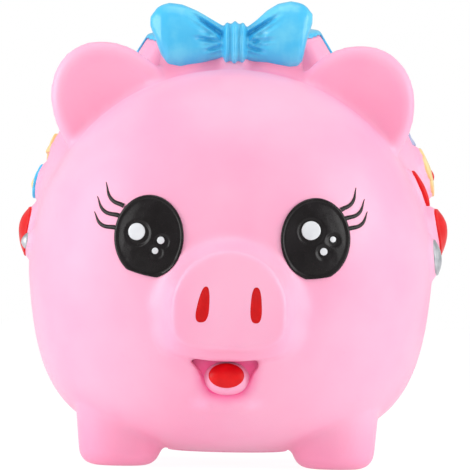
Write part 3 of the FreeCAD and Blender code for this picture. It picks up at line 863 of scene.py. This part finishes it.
eyes, glints = {}, {}
for side, suffix in SIDES:
    eyes[f"eye_{suffix}"] = make_eye(side, f"eye_{suffix}")
    glints[f"eye_glints_{suffix}"] = make_glints(side, f"eye_{suffix}", f"eye_glints_{suffix}")

# %% [markdown]
# ## Lashes
# Three curved, tapering lashes stand at the outer upper edge of each eye.  Each is a curve with a
# thickness that fades to its tip, made a mesh and laid on the face.

# %% Lashes
LASHES = {1: [((9.6, 11.2), (13.9, 14.0), (15.4, 20.0)), ((11.4, 7.9), (16.6, 10.0), (18.8, 15.6)),
              ((12.6, 3.9), (17.8, 5.8), (20.0, 10.8))],
          -1: [((9.6, 11.2), (14.6, 13.8), (16.9, 20.4)), ((11.4, 7.4), (17.4, 9.2), (20.2, 14.8)),
               ((12.6, 2.7), (18.4, 3.9), (21.2, 8.8))]}
# by side: root, middle and tip of each lash, outwards and up from the middle of the eye
LASH_THICK = (0.9, 0.72, 0.16)


def make_lash(name, x, z, side, points):
    let_go()
    bpy.ops.curve.primitive_bezier_curve_add()
    curve = bpy.context.object
    spline = curve.data.splines[0]
    spline.bezier_points.add(1)
    for point, (px, pz), thick in zip(spline.bezier_points, points, LASH_THICK):
        point.co = Vector((side * px, pz, 0))
        point.radius = thick
        point.handle_left_type = point.handle_right_type = "AUTO"
    spline.resolution_u = 16
    curve.data.bevel_depth, curve.data.bevel_resolution, curve.data.use_fill_caps = 1.0, 4, True
    bpy.ops.object.convert(target="MESH")
    lash = call_it(name)
    reshape(lash, lambda p: Vector((p.x, p.y, p.z * 0.75)))
    facing_front(lash, x, z)
    return drape(outwards(lash), ground, (0, 1, 0))


def make_lashes(side, suffix):
    centre = place_of(f"eye_{suffix}")[0] / MM
    each = [make_lash(f"lash_{k}", centre.x, centre.z, side, points) for k, points in enumerate(LASHES[side])]
    return smooth(join(f"eyelashes_{suffix}_black", *each), 60)


lashes = {f"eyelashes_{suffix}": make_lashes(side, suffix) for side, suffix in SIDES}

# %% [markdown]
# ## Blue saddle with the coin slot
# The same tapered block, full size this time, cut parallel to the back and freed of the pink core
# below it.  In front only its top is blue: a second cut takes the sides away there.  A fine remesh
# softens its edges, and the slot is cut last so that it stays crisp.

# %% Saddle paint
BLUE_SIDES_FROM_Y = 25.0


def saddle_front_cutter():
    """Everything under the top layer, up to where the blue sides begin."""
    let_go()
    bpy.ops.mesh.primitive_cube_add(size=1, location=(0, (BLUE_SIDES_FROM_Y - 30) * MM, 160 * MM),
                                    scale=(140 * MM, 60 * MM, 80 * MM))
    return carve(call_it("saddle_front_cutter"),
                 back_form("back_under_front", SADDLE_RISE - SADDLE_SKIN - 0.25), "INTERSECT")


def make_saddle():
    block = saddle_block("slot_saddle_blue", 0.0, SADDLE_Y[0])
    carve(block, back_form("back_over_paint", SADDLE_RISE), "INTERSECT")
    core = saddle_block("saddle_core_cutter", SADDLE_SKIN + 0.2, SADDLE_Y[0] - SADDLE_LIP - 8)
    carve(core, back_form("back_under_cutter", SADDLE_RISE - SADDLE_SKIN - 0.2), "INTERSECT")
    carve(block, core)
    carve(block, saddle_front_cutter())
    carve(block, body_form("back_cutter", -0.6))
    modify(block, "REMESH", mode="VOXEL", voxel_size=0.8 * MM)
    modify(block, "SMOOTH", factor=0.5, iterations=6)
    carve(block, make_slot_bar("slot_cutter_blue", -0.05))
    return smooth(block, 50)


saddle = make_saddle()

# %% [markdown]
# ## Painted caps of the raised work
# The same outlines, a little smaller than their pink pedestals.

# %% Painted caps
CAP_EDGE = 0.07


def make_cap(node):
    return smooth(raised_plate(f"{node}_paint", node, 0.0, 1.8, 0.0, CAP_EDGE), 50)


def make_flower_centre(side, suffix):
    name = f"flower_centre_{suffix}"
    centre, half = place_of(name)
    rise = RAISED["flower"][1][side]
    piece = plate(f"{name}_paint", dome_steps(0.3, 1.2, 0.5, foot=0.2), points=48)
    reshape(piece, outline(round_outline, half.z / MM))
    reshape(piece, lambda p: Vector((p.x, p.y, p.z + rise - 0.7)))
    piece = facing_side(piece, centre.y / MM, centre.z / MM, side)
    return smooth(drape(piece, ground, (-side, 0, 0)), 60)


caps = {node: make_cap(node) for node in RAISED_NODES}
for side, suffix in SIDES:
    caps[f"flower_centre_{suffix}"] = make_flower_centre(side, suffix)

# %% [markdown]
# ## Tail
# A curl that winds in on itself: a curve on a spiral, thinner towards its tip.

# %% Tail
TAIL_TUBE, TAIL_POINTS = 2.8, 14


def make_tail():
    centre, half = place_of("tail")
    centre, half = centre / MM, half / MM
    outer = (half.x + half.z) / 2 - TAIL_TUBE
    let_go()
    bpy.ops.curve.primitive_nurbs_path_add()
    curve = bpy.context.object
    curve.data.splines.clear()
    spline = curve.data.splines.new("NURBS")
    spline.points.add(TAIL_POINTS + 1)
    tip_y = centre.y + half.y - TAIL_TUBE
    for k, point in enumerate(spline.points):
        share = max(0, k - 2) / (TAIL_POINTS - 1)
        turn = -math.pi / 2 + 2.7 * math.pi * share
        reach = outer * (1 - 0.62 * share)
        back = tip_y - max(0, 2 - k) * 5.0
        point.co = (centre.x + reach * math.cos(turn), back, centre.z + reach * math.sin(turn), 1)
        point.radius = 1 - 0.35 * share
    spline.order_u = 4
    spline.use_endpoint_u = True
    spline.resolution_u = 10
    curve.data.bevel_depth, curve.data.bevel_resolution, curve.data.use_fill_caps = TAIL_TUBE, 6, True
    bpy.ops.object.convert(target="MESH")
    tail = call_it("tail_curl")
    reshape(tail, lambda p: p * MM)
    return smooth(outwards(tail), 60)


tail = make_tail()

# %% [markdown]
# ## Finishes
# Shader arithmetic reads better as Python: `Wire` wraps an output socket, and `+`, `-` and `*`
# on it add Math nodes.  `Finish` holds a material and adds every other node by one method.

# %% Wires and finishes
class Wire:
    """A node's output; arithmetic on it adds Math nodes."""

    def __init__(self, finish, socket):
        self.finish, self.socket = finish, socket

    def maths(self, operation, first, second):
        return self.finish.add("ShaderNodeMath", {"operation": operation}, {0: first, 1: second})

    def __add__(self, other):
        return self.maths("ADD", self, other)

    def __sub__(self, other):
        return self.maths("SUBTRACT", self, other)

    def __rsub__(self, other):
        return self.maths("SUBTRACT", other, self)

    def __mul__(self, other):
        return self.maths("MULTIPLY", self, other)

    __radd__ = __add__
    __rmul__ = __mul__


class Finish:
    """A material on its way."""

    def __init__(self, name, **constants):
        self.material = bpy.data.materials.new(name)
        self.material.use_nodes = True
        self.tree = self.material.node_tree
        self.shader = self.tree.nodes["Principled BSDF"]
        for socket, value in constants.items():
            self.shader.inputs[socket.replace("_", " ")].default_value = value

    def add(self, kind, settings=None, inputs=None, output=0):
        """Adds a node: its settings first, then the values or wires of its sockets."""
        node = self.tree.nodes.new(kind)
        for name, value in (settings or {}).items():
            setattr(node, name, value)
        for name, value in (inputs or {}).items():
            if isinstance(value, Wire):
                self.tree.links.new(value.socket, node.inputs[name])
            else:
                node.inputs[name].default_value = value
        return Wire(self, node.outputs[output])

    def place(self, offset=(0, 0, 0), scale=(1, 1, 1)):
        here = self.add("ShaderNodeTexCoord", output="Object")
        return self.add("ShaderNodeMapping", inputs={"Vector": here, "Location": offset, "Scale": scale})

    def noise(self, scale, detail=3.0, roughness=0.5, **where):
        return self.add("ShaderNodeTexNoise", inputs={"Vector": self.place(**where), "Scale": scale,
                                                      "Detail": detail, "Roughness": roughness})

    def ramp(self, value, start, end, low=0.0, high=1.0):
        return self.add("ShaderNodeMapRange", {"interpolation_type": "SMOOTHSTEP"},
                        {"Value": value, "From Min": start, "From Max": end, "To Min": low, "To Max": high})

    def blend(self, share, first, second):
        return self.add("ShaderNodeMix", {"data_type": "RGBA"}, {0: share, 6: first, 7: second}, output=2)

    def near(self, point, start, end):
        """1 within start metres of a point, 0 beyond end."""
        here = self.add("ShaderNodeTexCoord", output="Object")
        away = self.add("ShaderNodeVectorMath", {"operation": "DISTANCE"}, {0: here, 1: point}, "Value")
        return 1 - self.ramp(away, start, end)

    def feed(self, socket, wire):
        self.tree.links.new(wire.socket, self.shader.inputs[socket])

    def bump(self, height, strength, distance):
        self.feed("Normal", self.add("ShaderNodeBump", inputs={"Strength": strength, "Distance": distance,
                                                              "Height": height}))


def colour(red, green, blue):
    """A colour as seen on a screen, 0 to 255, as a shader wants it."""
    channels = [c / 255 for c in (red, green, blue)]
    return (*[c / 12.92 if c <= 0.04045 else ((c + 0.055) / 1.055) ** 2.4 for c in channels], 1.0)


# %% [markdown]
# Soft vinyl is satin, a touch translucent, and never one pink: its tone wanders a little at random
# and has darker specks.  Painted shade deepens it in each ear cup, on the ledge under the bow,
# round the feet where they meet the floor, and in the mouth pocket, which also takes magenta
# overspray.  A faint orange peel from the mould shows in its highlights.

# %% Pink vinyl
PINK, DEEP_PINK, PALE_PINK = colour(254, 170, 203), colour(255, 150, 189), colour(255, 184, 212)
# colours of the painted shade in the ear cups, and of the mouth's magenta overspray with painted shade
EAR_CUP_SHADE, MOUTH_OVERSPRAY_AND_SHADE = colour(254, 146, 188), colour(255, 84, 158)


def pink_vinyl(name, with_painted_shade):
    finish = Finish(name, Subsurface_Weight=0.12, Subsurface_Radius=(1.0, 0.45, 0.55), Subsurface_Scale=0.004,
                    Coat_Weight=0.06, Coat_Roughness=0.3, Specular_IOR_Level=0.4)
    cloud = finish.noise(22.0, 3.0)
    tone = finish.blend(finish.ramp(cloud, 0.3, 0.7), PINK, PALE_PINK)
    speck = finish.noise(480.0, 2.0)
    tone = finish.blend(finish.ramp(speck, 0.62, 0.8, 0.0, 0.10), tone, DEEP_PINK)
    # painted shade: deeper pink in the ear cups, under the bow, round the feet and in the mouth pocket
    if with_painted_shade:
        for side in (1, -1):
            # painted shade: the hollow of each ear cup made deeper pink
            ear_cup_shade = finish.near((side * 0.053, -0.016, 0.1425), 0.006, 0.027)
            tone = finish.blend(ear_cup_shade * 0.12, tone, EAR_CUP_SHADE)
            for y in FOOT_Y:
                # painted shade: deeper pink round each foot where it meets the floor
                foot = finish.near((side * FOOT_X * MM, y * MM, 0.0), 0.016, 0.030)
                tone = finish.blend(foot * 0.5, tone, DEEP_PINK)
            # painted shade: deeper pink on the ledge in the shade under the bow
            ledge = finish.near((side * 0.017, BOW_Y * MM, 0.1560), 0.010, 0.0165)
            tone = finish.blend(ledge * 0.6, tone, DEEP_PINK)
        # magenta overspray on the pocket's walls, together with painted shade in the pocket
        mouth = finish.near((0, -0.062, 0.0400), 0.010, 0.0165)
        tone = finish.blend(mouth * 0.8, tone, MOUTH_OVERSPRAY_AND_SHADE)
    finish.feed("Base Color", tone)
    finish.feed("Roughness", finish.ramp(finish.noise(60.0, 4.0), 0.3, 0.7, 0.36, 0.46))
    peel = finish.noise(950.0, 2.0) * 0.6 + finish.noise(240.0, 2.0) * 0.4
    finish.bump(peel, 0.10, 0.0003)
    return finish.material


# %% [markdown]
# Sprayed paint has its own slight unevenness: denser and thinner patches, a finer sheen than the
# vinyl, and a few specks.  One recipe with different colours serves blue, red, yellow and grey.

# %% Sprayed paint
def paint(name, main, thin, gloss=(0.28, 0.4), cloud_scale=120.0, specks=0.12, coat=0.3, shine=0.5):
    finish = Finish(name, Coat_Weight=coat, Coat_Roughness=0.15, Specular_IOR_Level=shine)
    tone = finish.blend(finish.ramp(finish.noise(cloud_scale, 4.0), 0.35, 0.75), main, thin)
    tone = finish.blend(finish.ramp(finish.noise(1100.0, 2.0), 0.66, 0.8, 0.0, specks), tone, thin)
    finish.feed("Base Color", tone)
    finish.feed("Roughness", finish.ramp(finish.noise(300.0, 3.0), 0.3, 0.7, *gloss))
    peel = finish.noise(900.0, 2.0) * 0.5 + finish.noise(260.0, 2.0) * 0.5
    finish.bump(peel, 0.12, 0.0003)
    return finish.material


def silver_paint(name):
    finish = Finish(name, Coat_Weight=0.1)
    light, dark = colour(200, 203, 207), colour(168, 173, 179)
    tone = finish.blend(finish.ramp(finish.noise(260.0, 4.0), 0.3, 0.7), light, dark)
    finish.feed("Base Color", tone)
    finish.feed("Metallic", finish.ramp(finish.noise(1500.0, 2.0), 0.3, 0.6, 0.55, 0.9))
    finish.feed("Roughness", finish.ramp(finish.noise(420.0, 3.0), 0.3, 0.7, 0.42, 0.58))
    finish.bump(finish.noise(1200.0, 2.0), 0.15, 0.0002)
    return finish.material


VINYL = pink_vinyl("pink_vinyl_cast", True)
PLAIN_VINYL = pink_vinyl("pink_vinyl_small", False)
BLUE = paint("blue_spray", colour(66, 192, 240), colour(100, 208, 244))
RED = paint("red_spray", colour(216, 4, 12), colour(230, 16, 20), cloud_scale=260.0, coat=0.0, shine=0.25)
YELLOW = paint("yellow_spray", colour(244, 212, 136), colour(248, 226, 170))
GREY_BLUE = paint("grey_blue_spray", colour(150, 170, 208), colour(180, 194, 220))
MAGENTA = paint("magenta_spray", colour(255, 74, 150), colour(255, 110, 172), gloss=(0.35, 0.5))
BLACK = paint("black_gloss", colour(18, 14, 15), colour(26, 22, 24), gloss=(0.2, 0.3), specks=0.05, coat=0.0,
              shine=0.25)
WHITE = paint("white_dots", colour(224, 226, 229), colour(212, 215, 219), gloss=(0.3, 0.4))
SILVER = silver_paint("silver_spray")

# %% [markdown]
# ## Putting it together
# Each piece gets its finish and rides on its body, and the part of the construction it stands
# for is hidden.

# %% Finishes, bodies and what each piece replaces
FINISHES = {"blue_paint": BLUE, "red_paint": RED, "yellow_paint": YELLOW, "grey_blue_paint": GREY_BLUE,
            "magenta_paint": MAGENTA, "black_paint": BLACK, "white_paint": WHITE, "silver_paint": SILVER,
            "pink_vinyl": PLAIN_VINYL}
SLOT_OF = {row["node"]: row["material_slot"] for row in frame["record"]["subparts"]}


def dress(piece, node, material=None):
    """Gives a piece its finish and its place in the model."""
    piece.data.materials.clear()
    piece.data.materials.append(material or FINISHES[SLOT_OF[node]])
    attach(piece, "bank")
    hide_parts(node)


dress(casting, "body_shell", VINYL)
dress(bow, "bow")
dress(saddle, "slot_saddle")
dress(lining, "mouth_lining")
dress(tongue_pink, "body_shell", PLAIN_VINYL)
dress(tongue_red, "tongue")
dress(tail, "tail")
for group in (nostrils, eyes, glints, lashes, caps):
    for node, piece in group.items():
        dress(piece, node)

stopper = frame["nodes"]["belly_stopper"]
stopper.data.materials.clear()
stopper.data.materials.append(PLAIN_VINYL)
for form in (ground, face):
    bpy.data.objects.remove(form)

# %% [markdown]
# ## Stage, light and camera
# A white floor that also glows a little from below, a white surround, two large soft lamps at the
# sides, one above and a weak one in front, and a long lens from far away, level with the middle
# of the pig.

# %% Stage
def white_stage_material():
    material = bpy.data.materials.new("white_stage")
    material.use_nodes = True
    tree = material.node_tree
    shader = tree.nodes["Principled BSDF"]
    shader.inputs["Base Color"].default_value = (0.9, 0.9, 0.9, 1)
    shader.inputs["Roughness"].default_value = 0.9
    glow = tree.nodes.new("ShaderNodeEmission")
    glow.inputs["Strength"].default_value = 1.1
    path = tree.nodes.new("ShaderNodeLightPath")
    scale = tree.nodes.new("ShaderNodeMapRange")
    scale.inputs["To Min"].default_value = 0.35
    scale.inputs["To Max"].default_value = 0.85
    mix = tree.nodes.new("ShaderNodeMixShader")
    tree.links.new(path.outputs["Is Camera Ray"], scale.inputs["Value"])
    tree.links.new(scale.outputs[0], mix.inputs[0])
    tree.links.new(shader.outputs[0], mix.inputs[1])
    tree.links.new(glow.outputs[0], mix.inputs[2])
    tree.links.new(mix.outputs[0], tree.nodes["Material Output"].inputs["Surface"])
    return material


let_go()
bpy.ops.mesh.primitive_circle_add(vertices=128, radius=3.0, fill_type="NGON", location=(0, 0, 0))
floor = call_it("stage_floor")
floor.data.materials.append(white_stage_material())

world = bpy.data.worlds.new("surround")
bpy.context.scene.world = world
world.use_nodes = True
sky = world.node_tree
background = sky.nodes["Background"]
background.inputs["Color"].default_value = (1, 1, 1, 1)
path = sky.nodes.new("ShaderNodeLightPath")
strength = sky.nodes.new("ShaderNodeMapRange")
strength.inputs["To Min"].default_value = 0.5
strength.inputs["To Max"].default_value = 1.0
sky.links.new(path.outputs["Is Camera Ray"], strength.inputs["Value"])
sky.links.new(strength.outputs[0], background.inputs["Strength"])


def soft_lamp(name, place, size, power, aim=(0, 0, 0.09)):
    let_go()
    bpy.ops.object.light_add(type="AREA", location=place)
    lamp = bpy.context.object
    lamp.name = name
    lamp.data.size = size
    lamp.data.energy = power
    lamp.rotation_euler = (Vector(aim) - Vector(place)).to_track_quat("-Z", "Y").to_euler()


soft_lamp("side_left", (-1.1, -0.25, 0.40), 0.8, 7.8)
soft_lamp("side_right", (1.1, -0.25, 0.40), 0.8, 6.8)
soft_lamp("top", (0.0, -0.15, 1.1), 0.8, 3.6)
soft_lamp("front", (0.1, -1.3, 0.8), 1.0, 1.6)

# %% Camera
AIM, DISTANCE, LENS = Vector((0.0015, 0, 0.0915)), 2.0, 383.0
TURN, ROLL = math.radians(0.5), math.radians(1.1)

bpy.ops.object.camera_add()
camera = bpy.context.object
camera.data.lens = LENS
camera.data.sensor_width = 36.0
camera.data.clip_end = 50.0
camera.location = AIM + DISTANCE * Vector((math.sin(TURN), -math.cos(TURN), 0))
look = (AIM - camera.location).to_track_quat("-Z", "Y").to_matrix().to_4x4()
camera.matrix_world = Matrix.Translation(camera.location) @ look @ Matrix.Rotation(ROLL, 4, "Z")
bpy.context.scene.camera = camera
bpy.context.scene.view_settings.view_transform = "Standard"
